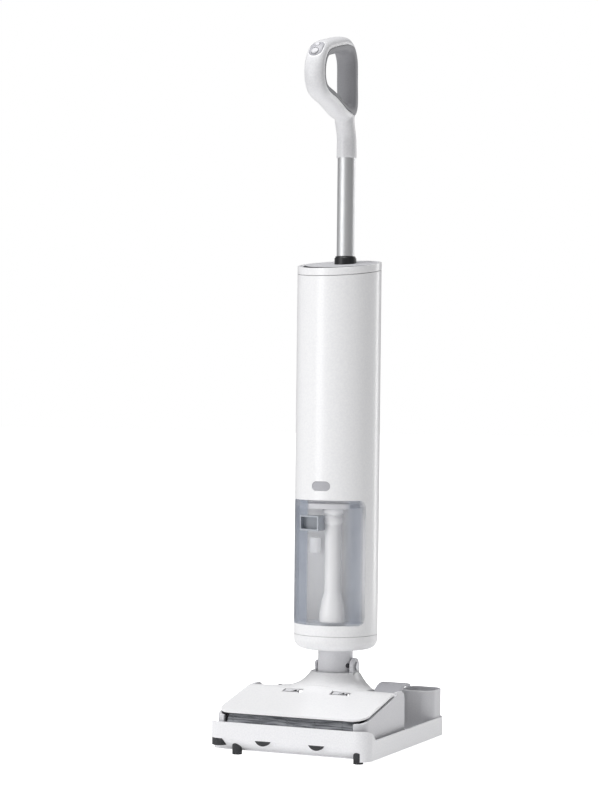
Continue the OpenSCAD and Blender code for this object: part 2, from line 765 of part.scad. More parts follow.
module handle_neck() color("white") difference() {
    hull() {
        translate([0, tube_y, tube_top_z]) cylinder(r = 15.8, h = 38, $fn = 32);
        translate([0, tube_y - 9, 983]) cylinder(r = 15.9, h = 2, $fn = 32);
    }
    translate([0, tube_y, 700]) cylinder(r = tube_r + 0.1, h = 250.2);
}

module handle_grip() color("gray") loop_sweep(false);

// Middle of the button pad, with +Z out of the handle and +Y up the slope
module at_pad() { translate([0, body_y - 100.9, 1078.1]) rotate([48.7, 0, 0]) children(); }

module pad_block(grow, z0, z1) {
    translate([0, 0, z0]) linear_extrude(z1 - z0) {
        for (y = [-6, 6]) translate([0, y]) circle(11 + grow);
        translate([-11 - grow, -6]) square([22 + 2 * grow, 12]);
    }
}

module button_pad() color("lightgray") at_pad() difference() {
    pad_block(0, -8, 0.8);
    translate([0, -7, -9]) cylinder(r = 6.3, h = 20);
    translate([0, 7.5, -9]) cylinder(r = 4.8, h = 20);
}

module power_button() color("white") at_pad() translate([0, -7, -1.2]) cylinder(r = 6, h = 3);
module clean_button() color("silver") at_pad() translate([0, 7.5, -1.2]) cylinder(r = 4.5, h = 2.8);

tray_base();
tray_feet();
grip_pads();
charge_posts();
power_socket();
accessory_cup();
head_chassis();
roller_cover();
neck_cover();
end_plate_left();
end_plate_right();
wheel_fender();
wiper_blade();
spray_bar();
suction_duct();
roller_motor();
motor_pulley();
drive_belt();
neck_fork();
tilt_pins();
head_screws();
latch_left();
latch_right();
wheel_left();
tyre_left();
wheel_right();
tyre_right();
wheel_axles();
roller_fleece();
roller_core();
roller_pulley();
neck_tube();
suction_hose();
body_base();
body_shell();
tank_bay();
top_rim();
display_panel();
top_plate();
tube_collar();
battery_pack();
suction_motor();
motor_seal();
control_board();
water_pump();
dirty_tank();
tank_lid();
inlet_pipe();
tank_grip();
tank_float();
clean_tank();
clean_cap();
release_button();
handle_tube();
handle_shell();
handle_neck();
handle_grip();
button_pad();
power_button();
clean_button();
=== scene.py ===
# %% [markdown]
# # A wet dry floor scrubber on its charging tray
#
# The machine is an upright one: a round white body with a smoky clear tank in its front, a silver
# tube with a loop handle, a neck that tilts and swivels, and a low floor head over a roller.
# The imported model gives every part's place and motion. This file gives each part its finish,
# and remakes the parts whose form needs soft edges or flowing surfaces.

import json
import math

import bmesh
import bpy
import numpy as np
from mathutils import Matrix, Vector

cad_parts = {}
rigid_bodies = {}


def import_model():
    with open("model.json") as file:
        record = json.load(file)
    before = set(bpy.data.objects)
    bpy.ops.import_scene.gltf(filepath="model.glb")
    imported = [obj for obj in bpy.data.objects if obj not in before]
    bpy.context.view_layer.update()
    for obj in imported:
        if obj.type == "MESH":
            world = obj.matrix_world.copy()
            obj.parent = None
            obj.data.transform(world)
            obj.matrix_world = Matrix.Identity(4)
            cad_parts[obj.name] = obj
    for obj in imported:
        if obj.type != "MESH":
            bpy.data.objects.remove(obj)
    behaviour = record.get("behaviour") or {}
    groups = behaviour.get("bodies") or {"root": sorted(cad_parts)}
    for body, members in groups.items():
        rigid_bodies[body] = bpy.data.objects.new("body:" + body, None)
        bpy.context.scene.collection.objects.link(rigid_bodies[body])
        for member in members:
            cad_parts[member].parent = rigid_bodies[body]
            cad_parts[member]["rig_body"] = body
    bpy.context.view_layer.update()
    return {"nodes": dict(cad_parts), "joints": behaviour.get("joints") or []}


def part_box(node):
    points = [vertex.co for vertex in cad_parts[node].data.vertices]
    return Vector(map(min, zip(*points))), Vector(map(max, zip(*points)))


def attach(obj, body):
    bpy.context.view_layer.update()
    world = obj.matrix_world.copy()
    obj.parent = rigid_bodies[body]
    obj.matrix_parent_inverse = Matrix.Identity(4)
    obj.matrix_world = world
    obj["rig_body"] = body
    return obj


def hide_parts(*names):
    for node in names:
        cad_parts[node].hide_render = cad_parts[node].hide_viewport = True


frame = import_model()
scene = bpy.context.scene
MM = 0.001
print("frame loaded:", len(frame["nodes"]), "nodes")

# %% [markdown]
# ## Places taken from the frame
#
# The body's axis, the roller's axis and the tube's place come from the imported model's own joints and
# boxes, so a change of the design carries through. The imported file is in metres; the surfaces below
# are worked out in millimetres, and MM turns one into the other.

# %% Axes and sizes
joints = {j["name"]: j for j in frame["joints"]}
AXIS_Y = joints["swivel"]["pos_m"][1]
ROLLER = joints["roller_spin"]["pos_m"]
tube_low, tube_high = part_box("handle_tube")
TUBE_Y = (tube_low.y + tube_high.y) / 2
print(f"body axis y {AXIS_Y:.3f}, roller axis y {ROLLER[1]:.3f}, tube at y {TUBE_Y:.3f}")

# %% [markdown]
# ## Camera
#
# A product picture of something tall is taken from far off with a long lens, level, so that the
# upright edges stay upright. The lens is 100 mm on a 36 mm wide frame, and the camera stands
# three and a half metres away, at half the machine's height.

# %% Camera
AZIMUTH = math.radians(24.0)
DISTANCE = 3.492
EYE_Z = 0.5388
SIDE = 0.0608                 # the body's axis stands this far right of the middle of the view
ROLL = math.radians(0.63)     # a very slight tilt of the camera
ahead = Vector((-math.sin(AZIMUTH), math.cos(AZIMUTH), 0))
right = Vector((math.cos(AZIMUTH), math.sin(AZIMUTH), 0))
eye = Vector((0, AXIS_Y, EYE_Z)) - ahead * DISTANCE - right * SIDE
camera = bpy.data.objects.new("camera", bpy.data.cameras.new("camera"))
scene.collection.objects.link(camera)
camera.data.lens = 99.95
camera.data.sensor_width = 36.0
camera.matrix_world = (
    Matrix.Translation(eye)
    @ Matrix((right, Vector((0, 0, 1)), -ahead)).transposed().to_4x4()
    @ Matrix.Rotation(ROLL, 4, "Z")
)
scene.camera = camera
print("camera at", [round(c, 3) for c in eye])

# %% [markdown]
# ## Light and floor
#
# A white object on white needs soft light from large sources, and one side a little darker, or its
# round form goes flat. A large source at the front left is the key, a strip behind on the right
# gives the bright edge, one overhead lights the top surfaces, and a dim even world fills the rest.
# The camera sees a plain white world and a floor that glows to meet it. Every other ray gets less
# light from them, because a full white surrounding would wash out the machine's own shading.

# %% Three area lights
def area_light(name, place, target, size, power):
    """A rectangular soft light at place, in metres, turned to face target."""
    data = bpy.data.lights.new(name, "AREA")
    data.shape = "RECTANGLE"
    data.size, data.size_y = size
    data.energy = power
    light = bpy.data.objects.new(name, data)
    scene.collection.objects.link(light)
    turn = (Vector(target) - Vector(place)).to_track_quat("-Z", "Y")
    light.matrix_world = Matrix.Translation(place) @ turn.to_matrix().to_4x4()
    return light


area_light("key", (-1.3, -2.4, 1.1), (0, 0, 0.55), (1.0, 1.8), 20)
area_light("edge", (1.0, 1.9, 0.9), (0, 0, 0.6), (0.5, 1.9), 10)
area_light("top", (-0.5, -0.9, 4.6), (0, 0, 0.2), (2.8, 2.8), 170)
print("key, edge and top lights")


# %% World and floor
def glow(tree, strength, for_others):
    """Drives a strength socket: 1 for what the camera sees directly, and for_others for the rest."""
    seen = tree.nodes.new("ShaderNodeLightPath")
    amount = tree.nodes.new("ShaderNodeMapRange")
    amount.inputs["To Min"].default_value = for_others
    amount.inputs["To Max"].default_value = 1.0
    tree.links.new(seen.outputs["Is Camera Ray"], amount.inputs["Value"])
    tree.links.new(amount.outputs["Result"], strength)


world = bpy.data.worlds.new("studio")
world.use_nodes = True
sky = world.node_tree.nodes["Background"]
sky.inputs["Color"].default_value = (1, 1, 1, 1)
glow(world.node_tree, sky.inputs["Strength"], 0.22)
scene.world = world
scene.view_settings.view_transform = "Standard"

FLOOR_HALF = 30      # metres, so that its far edge meets the world at the horizon
floor_mesh = bpy.data.meshes.new("studio_floor")
floor_mesh.from_pydata([(x * FLOOR_HALF, y * FLOOR_HALF, 0) for x, y in ((-1, -1), (1, -1), (1, 1), (-1, 1))],
                       [], [(0, 1, 2, 3)])
floor = bpy.data.objects.new("studio_floor", floor_mesh)
scene.collection.objects.link(floor)
floor_paint = bpy.data.materials.new("studio_floor_paint")
floor_paint.use_nodes = True
paint = floor_paint.node_tree.nodes["Principled BSDF"]
paint.inputs["Base Color"].default_value = (0.88, 0.88, 0.88, 1)
paint.inputs["Roughness"].default_value = 0.9
paint.inputs["Emission Color"].default_value = (1, 1, 1, 1)
glow(floor_paint.node_tree, paint.inputs["Emission Strength"], 0.18)
floor_mesh.materials.append(floor_paint)
print("a pale world and a floor")

# %% [markdown]
# ## Finishes
#
# Each finish is named for what the real one is and how its surface was made. Two small functions
# serve them all: one turns a hex colour to linear light, and one adds a node with its settings.

# %% Helpers for materials
def linear(hex_colour, alpha=1.0):
    """An sRGB hex colour as linear RGBA: c/12.92 below 0.04045, else ((c + 0.055)/1.055)^2.4."""
    parts = [int(hex_colour[i:i + 2], 16) / 255 for i in (0, 2, 4)]
    return tuple(c / 12.92 if c <= 0.04045 else ((c + 0.055) / 1.055) ** 2.4 for c in parts) + (alpha,)


def add(material, kind, sets=None, links=None, **props):
    """Adds a node, sets its properties and sockets, and links (node, output) pairs to its inputs."""
    tree = material.node_tree
    node = tree.nodes.new(kind)
    for key, value in props.items():
        setattr(node, key, value)
    for key, value in (sets or {}).items():
        node.inputs[key].default_value = value
    for key, (source, output) in (links or {}).items():
        tree.links.new(source.outputs[output], node.inputs[key])
    return node


def new_material(name, colour, roughness, **sockets):
    """A material with a Principled shader; uniform values are set on its own sockets."""
    material = bpy.data.materials.new(name)
    material.use_nodes = True
    shader = material.node_tree.nodes["Principled BSDF"]
    shader.inputs["Base Color"].default_value = linear(colour)
    shader.inputs["Roughness"].default_value = roughness
    for key, value in sockets.items():
        shader.inputs[key.replace("_", " ")].default_value = value
    return material, shader


def link(material, source, output, shader, socket):
    """Joins one output of the source node to one socket of the shader."""
    material.node_tree.links.new(source.outputs[output], shader.inputs[socket])


def grain(material, shader, size_mm, height_mm, detail=2.0, stretch=(1, 1, 1)):
    """Fine bump from noise in Object coordinates; size_mm is the distance between its bumps."""
    place = add(material, "ShaderNodeTexCoord")
    turn = add(material, "ShaderNodeMapping", {"Scale": stretch}, {"Vector": (place, "Object")})
    noise = add(material, "ShaderNodeTexNoise", {"Scale": 1 / (size_mm * MM), "Detail": detail},
                {"Vector": (turn, "Vector")})
    bump = add(material, "ShaderNodeBump", {"Strength": 1.0, "Distance": height_mm * MM},
               {"Height": (noise, "Fac")})
    link(material, bump, "Normal", shader, "Normal")
    return noise


MIX_SHARE, MIX_A, MIX_B, MIX_RESULT = 0, 6, 7, 2      # the Mix node's sockets when it mixes colours


def vary(material, shader, noise, colour_a, colour_b, rough_a, rough_b, low=0.35, high=0.65):
    """Colour and roughness that wander a little between two values as the noise does."""
    share = add(material, "ShaderNodeMapRange", {"From Min": low, "From Max": high}, {"Value": (noise, "Fac")})
    mix = add(material, "ShaderNodeMix", {MIX_A: linear(colour_a), MIX_B: linear(colour_b)},
              {MIX_SHARE: (share, "Result")}, data_type="RGBA")
    link(material, mix, MIX_RESULT, shader, "Base Color")
    rough = add(material, "ShaderNodeMapRange",
                {"From Min": low, "From Max": high, "To Min": rough_a, "To Max": rough_b},
                {"Value": (noise, "Fac")})
    link(material, rough, "Result", shader, "Roughness")


print("helpers for materials")

# %% [markdown]
# ### White ABS and the pale greys
#
# The covers are injection moulded ABS with a satin polish: white, a soft gloss, and the very slight
# orange peel that a polished mould leaves. The greys are the same plastic from an eroded mould,
# which gives a fine even grit and less gloss. The mould's grit is really about 0.1 mm; it is drawn
# about a millimetre wide, or it wouldn't show. The bay behind the tank is white plastic with a faint
# painted glow: an emission that lightens the shade deep in the bay, though the bay is no lamp.

# %% Moulded plastics
def moulded(name, colour, colour_b, roughness, size_mm, height_mm, coat=0.0):
    """Injection moulded plastic: a base colour that wanders a little, and the mould's own texture."""
    material, shader = new_material(name, colour, roughness, IOR=1.5, Coat_Weight=coat, Coat_Roughness=0.12)
    noise = grain(material, shader, size_mm, height_mm)
    vary(material, shader, noise, colour, colour_b, roughness, roughness + 0.06)
    return material


white_abs = moulded("white_abs_polished", "F6F6F7", "F1F1F3", 0.30, 3.0, 0.012, coat=0.25)
tray_abs = moulded("tray_abs_satin", "F3F3F5", "ECECEF", 0.36, 2.4, 0.02, coat=0.1)
pale_abs = moulded("pale_grey_abs_eroded", "D2D2D6", "CACACE", 0.42, 1.2, 0.03)
plate_abs = moulded("grey_abs_eroded", "B4B4B9", "ABABB1", 0.40, 1.2, 0.03)
grip_abs = moulded("grip_grey_soft_touch", "96969A", "8C8C90", 0.48, 1.0, 0.03)
light_abs = moulded("light_grey_abs_eroded", "DDDDE0", "D6D6DA", 0.42, 1.2, 0.03)
mist_abs = moulded("grey_translucent_abs", "B4B8BF", "ABB0B8", 0.3, 2.0, 0.02)
dark_abs = moulded("dark_grey_abs_eroded", "3C3D41", "35363A", 0.45, 1.2, 0.04)
black_abs = moulded("black_abs_satin", "232427", "1D1E20", 0.38, 1.2, 0.03)
display = moulded("display_cover_satin", "2A2B2E", "232427", 0.42, 6.0, 0.002)
handle_abs = moulded("handle_abs_satin", "E3E3E5", "DCDCDF", 0.34, 3.0, 0.012, coat=0.15)
bay_abs_painted_glow = moulded("bay_white_abs_painted_glow", "FBFBFC", "F6F6F8", 0.4, 2.4, 0.02)
bay_painted_glow_shader = bay_abs_painted_glow.node_tree.nodes["Principled BSDF"]
# Painted glow: a faint emission lightens the shaded bay and the float, though neither gives light.
bay_painted_glow_shader.inputs["Emission Color"].default_value = linear("F6F7FA")
bay_painted_glow_shader.inputs["Emission Strength"].default_value = 0.14
print("ten moulded plastics, a display cover and the glowing bay")

# %% [markdown]
# ### Smoky clear tank plastic
#
# The dirty water tank is clear copolyester with a grey-blue tint. A wall seen edge on is longer for
# the light to cross, so it looks darker and denser there. Letting the opacity of the surface grow
# with the viewing angle gives that, with far less noise than tracing light through two refracting
# walls. A denser band is also laid up each side of the tank's front, placed by position on the tank.
# The clean water tank at the back is the same plastic with a frosted face.

# %% Smoky clear plastic
smoke, smoke_shader = new_material("smoky_copolyester_polished", "A6AFBF", 0.05, IOR=1.5)
smoke_noise = grain(smoke, smoke_shader, 30.0, 0.01)
vary(smoke, smoke_shader, smoke_noise, "A9B2C2", "A0A9BB", 0.04, 0.08)
wall_angle = add(smoke, "ShaderNodeLayerWeight", {"Blend": 0.25})
wall_depth = add(smoke, "ShaderNodeMapRange",
                 {"From Min": 0.3, "From Max": 0.95, "To Min": 0.012, "To Max": 0.62},
                 {"Value": (wall_angle, "Facing")})

# %% Denser bands up the sides of the tank's front
FRONT_ONLY = ("Y", -8, -12, 1)
LEFT_BAND = [("X", -22, -25, 0.32), FRONT_ONLY]
RIGHT_BAND = [("X", 34, 50, 0.34), ("X", 60, 53, 1), FRONT_ONLY]
place = add(smoke, "ShaderNodeTexCoord")
place_parts = add(smoke, "ShaderNodeSeparateXYZ", {}, {"Vector": (place, "Object")})
density = (wall_depth, "Result")
for ramps in (LEFT_BAND, RIGHT_BAND):
    band = None      # each band is the product of ramps: (axis, mm where it is 0, mm where it is full, full)
    for axis, start_mm, end_mm, full in ramps:
        ramp = add(smoke, "ShaderNodeMapRange",
                   {"From Min": start_mm * MM, "From Max": end_mm * MM, "To Max": full},
                   {"Value": (place_parts, axis)}, interpolation_type="SMOOTHSTEP")
        if band is None:
            band = (ramp, "Result")
        else:
            product = add(smoke, "ShaderNodeMath", {}, {0: band, 1: (ramp, "Result")}, operation="MULTIPLY")
            band = (product, "Value")
    denser = add(smoke, "ShaderNodeMath", {}, {0: density, 1: band}, operation="MAXIMUM")
    density = (denser, "Value")
link(smoke, *density, smoke_shader, "Alpha")
print("smoky clear plastic")

# %% Frosted clear plastic
frost, frost_shader = new_material("frosted_copolyester_satin", "DADFE8", 0.28, IOR=1.5, Alpha=0.8)
vary(frost, frost_shader, grain(frost, frost_shader, 4.0, 0.01), "DDE2EA", "D3D9E3", 0.25, 0.34)
print("frosted clear plastic")

# %% [markdown]
# ### Rubber, fleece and metals
#
# Rubber is dark, dull and finely pitted. The roller's microfibre is a dense cut pile whose tufts
# lie in short streaks along it. The tube is drawn aluminium, brushed along its length
# and anodised, so its streaks run up it and its highlights spread sideways.

# %% Rubber
rubber, rubber_shader = new_material("rubber_moulded", "38393C", 0.7, IOR=1.52)
vary(rubber, rubber_shader, grain(rubber, rubber_shader, 0.9, 0.05), "3A3B3E", "2F3032", 0.62, 0.78)
print("rubber")

# %% Microfibre fleece
fleece, fleece_shader = new_material("microfibre_cut_pile", "6E7076", 0.95, Sheen_Weight=0.45,
                                     Sheen_Roughness=0.4, Specular_IOR_Level=0.15)
fleece_noise = grain(fleece, fleece_shader, 2.2, 0.7, detail=3.0, stretch=(0.06, 1, 1))
vary(fleece, fleece_shader, fleece_noise, "585A5F", "A2A4A9", 0.9, 1.0, 0.38, 0.62)
print("fleece")

# %% Metals
tube_metal, tube_shader = new_material("aluminium_brushed_anodised", "C9CACC", 0.36, Metallic=1.0,
                                       Anisotropic=0.5)
brush_lines = grain(tube_metal, tube_shader, 0.5, 0.006, detail=3.0, stretch=(1, 1, 0.02))
vary(tube_metal, tube_shader, brush_lines, "ECEDEE", "DEDFE1", 0.40, 0.50)
steel, steel_shader = new_material("steel_turned_zinc", "B9BABD", 0.32, Metallic=1.0)
vary(steel, steel_shader, grain(steel, steel_shader, 0.6, 0.01), "BDBEC1", "A9AAAE", 0.26, 0.4)
gold, gold_shader = new_material("brass_gold_plated", "D9B56A", 0.25, Metallic=1.0)
vary(gold, gold_shader, grain(gold, gold_shader, 0.8, 0.004), "DDBA70", "CBA55C", 0.2, 0.32)
print("aluminium, steel and gold plate")

# %% Electrical finishes
cell_wrap = moulded("cell_shrink_film", "4F86B5", "477CA9", 0.3, 4.0, 0.02, coat=0.3)
board, board_shader = new_material("board_green_solder_mask", "1E5B3A", 0.35, Coat_Weight=0.3)
place = add(board, "ShaderNodeTexCoord")
tracks = add(board, "ShaderNodeTexBrick", {
    "Scale": 1 / (6 * MM), "Mortar Size": 0.06, "Color1": linear("1E5B3A"), "Color2": linear("1B5235"),
    "Mortar": linear("4F8A66")}, {"Vector": (place, "Object")})
link(board, tracks, "Color", board_shader, "Base Color")
print("film and board")

# %% [markdown]
# ## Giving the frame's own parts their finish
#
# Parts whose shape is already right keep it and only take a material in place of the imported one.

# %% Finish of each node
FINISH = {
    white_abs: ["roller_cover", "neck_cover", "body_base", "body_shell", "top_rim", "handle_shell",
                "handle_neck", "inlet_pipe", "power_button", "roller_core"],
    tray_abs: ["tray_base"],
    bay_abs_painted_glow: ["tank_bay", "tank_float"],
    pale_abs: ["top_plate", "button_pad", "spray_bar", "clean_button"],
    light_abs: ["accessory_cup", "tank_lid", "end_plate_left", "end_plate_right", "latch_left",
                "latch_right", "neck_fork", "neck_tube"],
    plate_abs: ["wheel_fender", "release_button", "clean_cap", "wheel_left", "wheel_right"],
    mist_abs: ["tank_grip"],
    grip_abs: ["handle_grip"],
    dark_abs: ["head_chassis", "suction_duct", "roller_motor", "suction_motor", "water_pump",
               "motor_pulley", "roller_pulley"],
    black_abs: ["tube_collar", "power_socket"],
    display: ["display_panel"],
    smoke: ["dirty_tank"],
    frost: ["clean_tank"],
    rubber: ["tray_feet", "grip_pads", "wiper_blade", "tyre_left", "tyre_right", "motor_seal",
             "drive_belt", "suction_hose"],
    fleece: ["roller_fleece"],
    tube_metal: ["handle_tube"],
    steel: ["tilt_pins", "head_screws", "wheel_axles"],
    gold: ["charge_posts"],
    cell_wrap: ["battery_pack"],
    board: ["control_board"],
}
finish_of = {node: material for material, nodes in FINISH.items() for node in nodes}
for node, material in finish_of.items():
    mesh = frame["nodes"][node].data
    mesh.materials.clear()
    mesh.materials.append(material)
print("finished", len(finish_of), "nodes; left over:", sorted(set(frame["nodes"]) - set(finish_of)))

# %% [markdown]
# ## Surfaces worked out as arrays
#
# The parts that show most are remade as smooth surfaces. Each is a grid of points worked out from a
# formula in one go, joined into four sided faces, and then a bevel or a little smoothing finishes
# its edges. Small functions serve them: one numbers a grid's faces, one makes the object, one ties it
# to its body, and others turn a profile round an upright axis, cut holes and round edges.

# %% Grid faces, new pieces and lathe forms
def grid_faces(rows, cols, wrap_rows=False, wrap_cols=False):
    """Corner numbers of a grid's quads, row by row; a wrapped way joins its last line to its first."""
    r, c = np.meshgrid(np.arange(rows - (not wrap_rows)), np.arange(cols - (not wrap_cols)), indexing="ij")
    r2, c2 = (r + 1) % rows, (c + 1) % cols
    return np.stack([r * cols + c, r * cols + c2, r2 * cols + c2, r2 * cols + c], axis=-1).reshape(-1, 4)


def new_mesh(name, points_mm, faces):
    """A smooth shaded mesh object from points in millimetres; its faces are turned outwards."""
    mesh = bpy.data.meshes.new(name)
    mesh.from_pydata((points_mm * MM).tolist(), [], [tuple(f) for f in faces])
    bm = bmesh.new()
    bm.from_mesh(mesh)
    bmesh.ops.remove_doubles(bm, verts=bm.verts, dist=1e-7)
    bmesh.ops.recalc_face_normals(bm, faces=bm.faces)
    bm.to_mesh(mesh)
    bm.free()
    mesh.shade_smooth()
    piece = bpy.data.objects.new(name, mesh)
    scene.collection.objects.link(piece)
    return piece


def install(piece, material, body, *nodes):
    """Gives a piece its material and its body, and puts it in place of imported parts."""
    piece.data.materials.clear()
    piece.data.materials.append(material)
    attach(piece, body)
    if nodes:
        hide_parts(*nodes)
    return piece


def lathe_points(profile_mm, centre_mm, segments=96):
    """Each (radius, height) of the profile turned round the upright line through centre."""
    profile = np.asarray(profile_mm, float)
    angle = np.arange(segments) * 2 * math.pi / segments
    ring = np.stack([np.cos(angle), np.sin(angle)], axis=-1)
    flat = profile[:, None, :1] * ring[None]
    height = np.broadcast_to(profile[:, None, 1:], flat.shape[:2] + (1,))
    return np.concatenate([flat, height], axis=-1).reshape(-1, 3) + np.asarray(centre_mm, float)


def lathe(name, profile_mm, centre_mm, segments=96):
    """A closed turned form: the profile must end on the axis, or come back to where it began."""
    rows = len(profile_mm)
    return new_mesh(name, lathe_points(profile_mm, centre_mm, segments),
                    grid_faces(rows, segments, wrap_cols=True))


def rounded_line(corners, radius, steps=5):
    """A line through corners with each inner corner cut to an arc-like curve of about that radius."""
    corners = np.asarray(corners, float)
    line = [corners[0]]
    for before, corner, after in zip(corners[:-2], corners[1:-1], corners[2:]):
        a, b = before - corner, after - corner
        reach = min(radius, np.linalg.norm(a) / 2, np.linalg.norm(b) / 2)
        start, end = corner + a / np.linalg.norm(a) * reach, corner + b / np.linalg.norm(b) * reach
        t = np.linspace(0, 1, steps)[:, None]
        line.extend((1 - t) ** 2 * start + 2 * t * (1 - t) * corner + t ** 2 * end)
    line.append(corners[-1])
    return np.array(line)


def soft_step(x):
    """0 below 0, 1 above 1, and the smooth cubic 3x^2 - 2x^3 between."""
    x = np.clip(x, 0, 1)
    return x * x * (3 - 2 * x)


def baked(piece):
    """The piece with its modifiers worked into its mesh."""
    view = bpy.context.evaluated_depsgraph_get()
    mesh = bpy.data.meshes.new_from_object(piece.evaluated_get(view))
    piece.modifiers.clear()
    piece.data = mesh
    return piece


def cut(piece, *cutters):
    """Takes each cutter out of the piece, and throws the cutters away."""
    for cutter in cutters:
        trim = piece.modifiers.new("cut", "BOOLEAN")
        trim.operation = "DIFFERENCE"
        trim.object = cutter
        trim.solver = "EXACT"
    baked(piece)
    for cutter in cutters:
        bpy.data.objects.remove(cutter)
    return piece


def block(x0, x1, y0, y1, z0, z1):
    """A plain block, used only to cut with."""
    points = np.array([(x, y, z) for x in (x0, x1) for y in (y0, y1) for z in (z0, z1)], float)
    faces = [(0, 1, 3, 2), (4, 6, 7, 5), (0, 4, 5, 1), (2, 3, 7, 6), (0, 2, 6, 4), (1, 5, 7, 3)]
    return new_mesh("cutter", points, faces)


def edge_round(piece, width_mm, degrees=30):
    """A narrow bevel on every edge sharper than that, with even shading beside it."""
    for polygon in piece.data.polygons:
        polygon.use_smooth = True
    bevel = piece.modifiers.new("edge_radius", "BEVEL")
    bevel.width = width_mm * MM
    bevel.segments = 2
    bevel.limit_method = "ANGLE"
    bevel.angle_limit = math.radians(degrees)
    normals = piece.modifiers.new("even_shading", "WEIGHTED_NORMAL")
    normals.keep_sharp = True
    return piece


AXIS = AXIS_Y / MM
print("array helpers ready; body axis at y =", round(AXIS, 2), "mm")

# %% [markdown]
# ## The floor head's cover and flare
#
# The white cover slopes up from the roller and flows into a flare round the neck, like a skirt. On
# the real head it is two mouldings: the front one lifts off over the roller, and the rear one is
# fixed. One height formula makes both, so their surfaces run into each other across the seam.

# %% Height of the cover
COVER_FRONT, COVER_SEAM, COVER_REAR = -158.0, -40.0, 36.0
COVER_SLOPE, FRONT_Z, COVER_THICK = 0.222, 66, 3
HALF_W, CORNER_R, REAR_HALF_W = 121.5, 22.0, 73
FLARE_R, FLARE_TOP, FLARE_REACH = 38.0, 114.0, 52.0
ACROSS = 181      # points across the cover


def cover_height(x, y):
    """A slope of 0.222 up to the seam, a soft crest behind it, and the flare added on top.

    The flare's height above the slope falls with the distance r from the neck's axis as
    (1 - t)^3, where t goes from 0 at the flare's rim to 1 where it dies out.
    """
    knots_y = np.array([-160, -40, -20, 10, 36, 40])
    knots_z = np.array([65.56, 92.2, 92.8, 89.0, 80.0, 78.6])
    shifts = np.linspace(-9, 9, 13)
    base = np.mean([np.interp(y + s, knots_y, knots_z) for s in shifts], axis=0)
    base = np.where(y < -60, FRONT_Z + (y - COVER_FRONT) * COVER_SLOPE, base)
    t = np.clip((np.hypot(x, y - AXIS) - FLARE_R) / FLARE_REACH, 0, 1)
    return base + (FLARE_TOP - base) * (1 - t) ** 3


def cover_half_width(y):
    """Half width of the cover: round at the front corners, and narrow beside the wheels."""
    into = np.clip(COVER_FRONT + CORNER_R - y, 0, CORNER_R)
    front = HALF_W - CORNER_R + np.sqrt(CORNER_R ** 2 - into ** 2)
    return front - (HALF_W - REAR_HALF_W) * soft_step((y + 36) / 6)


def cover_piece(name, y_low, y_high, rows):
    """The strip of the cover between two y: a top, the same surface 3 mm lower, and walls round them.

    The points across lie at u = 0.65 v + 0.35 sin(v pi / 2) for even v from -1 to 1, times the half
    width, so that they crowd towards the two sides.
    """
    y = np.linspace(y_low, y_high, rows)
    if y_low == COVER_FRONT:
        y = y_low + (y_high - y_low) * np.linspace(0, 1, rows) ** 1.25
    even = np.linspace(-1, 1, ACROSS)
    across = np.sin(even * math.pi / 2) * 0.35 + even * 0.65
    yy, uu = np.meshgrid(y, across, indexing="ij")
    xx = uu * cover_half_width(yy)
    top = np.stack([xx, yy, cover_height(xx, yy)], axis=-1).reshape(-1, 3)
    under = top - [0, 0, COVER_THICK]
    faces = grid_faces(rows, ACROSS)
    count = len(top)
    rim = np.concatenate([
        np.arange(ACROSS), np.arange(1, rows) * ACROSS + ACROSS - 1,
        (rows - 1) * ACROSS + np.arange(ACROSS - 2, -1, -1), np.arange(rows - 2, 0, -1) * ACROSS])
    after = np.roll(rim, -1)
    walls = np.stack([rim, after, after + count, rim + count], axis=-1)
    return new_mesh(name, np.concatenate([top, under]),
                    np.concatenate([faces, faces[:, ::-1] + count, walls]))


print("height of the cover at its seam:", round(float(cover_height(0.0, COVER_SEAM)), 2), "mm")

# %% Front cover, with the latches' windows
front_cover = cover_piece("roller_cover_skin", COVER_FRONT, COVER_SEAM - 0.3, 90)
cut(front_cover, block(-56, -24, -62, -48, 70, 110), block(24, 56, -62, -48, 70, 110))
edge_round(front_cover, 0.8)
install(front_cover, white_abs, "cover", "roller_cover")
print("front cover of", len(front_cover.data.polygons), "faces")

# %% Rear cover, open for the neck to lean back
rear_cover = cover_piece("neck_cover_skin", COVER_SEAM, COVER_REAR, 76)
neck_hole = lathe("cutter", [(0, 60), (30.6, 60), (30.6, 140), (0, 140)], (0, AXIS, 0))
cut(rear_cover, neck_hole, block(-37.6, 37.6, 3.5, 90, 60, 140))
edge_round(rear_cover, 0.8)
install(rear_cover, white_abs, "head", "neck_cover")
print("rear cover of", len(rear_cover.data.polygons), "faces")

# %% [markdown]
# ## The cover's two latches
#
# Each latch slides in a window of the cover. Its inner half is a low flush tab. Its outer half has a
# three-cornered hollow for a fingertip, whose walls and floor are painted black as painted shade.

# %% Latches with their finger hollows
LEAN = math.atan(COVER_SLOPE)
LEAN_TURN = np.array([[1, 0, 0], [0, math.cos(LEAN), math.sin(LEAN)], [0, -math.sin(LEAN), math.cos(LEAN)]])
LATCH_W, LATCH_L, LATCH_T = 21.3, 9, 3
LATCH_Y, LATCH_SUNK = -60, 2.4


def slope_prism(name, outline, low, high, start):
    """The flat outline raised from low to high, then turned about X to lie on the cover's slope."""
    count = len(outline)
    flat = np.array([(x, y, z) for z in (low, high) for x, y in outline], float)
    sides = [(i, (i + 1) % count, count + (i + 1) % count, count + i) for i in range(count)]
    ends = [tuple(range(count))[::-1], tuple(range(count, 2 * count))]
    return new_mesh(name, flat @ LEAN_TURN + start, [*ends, *sides])


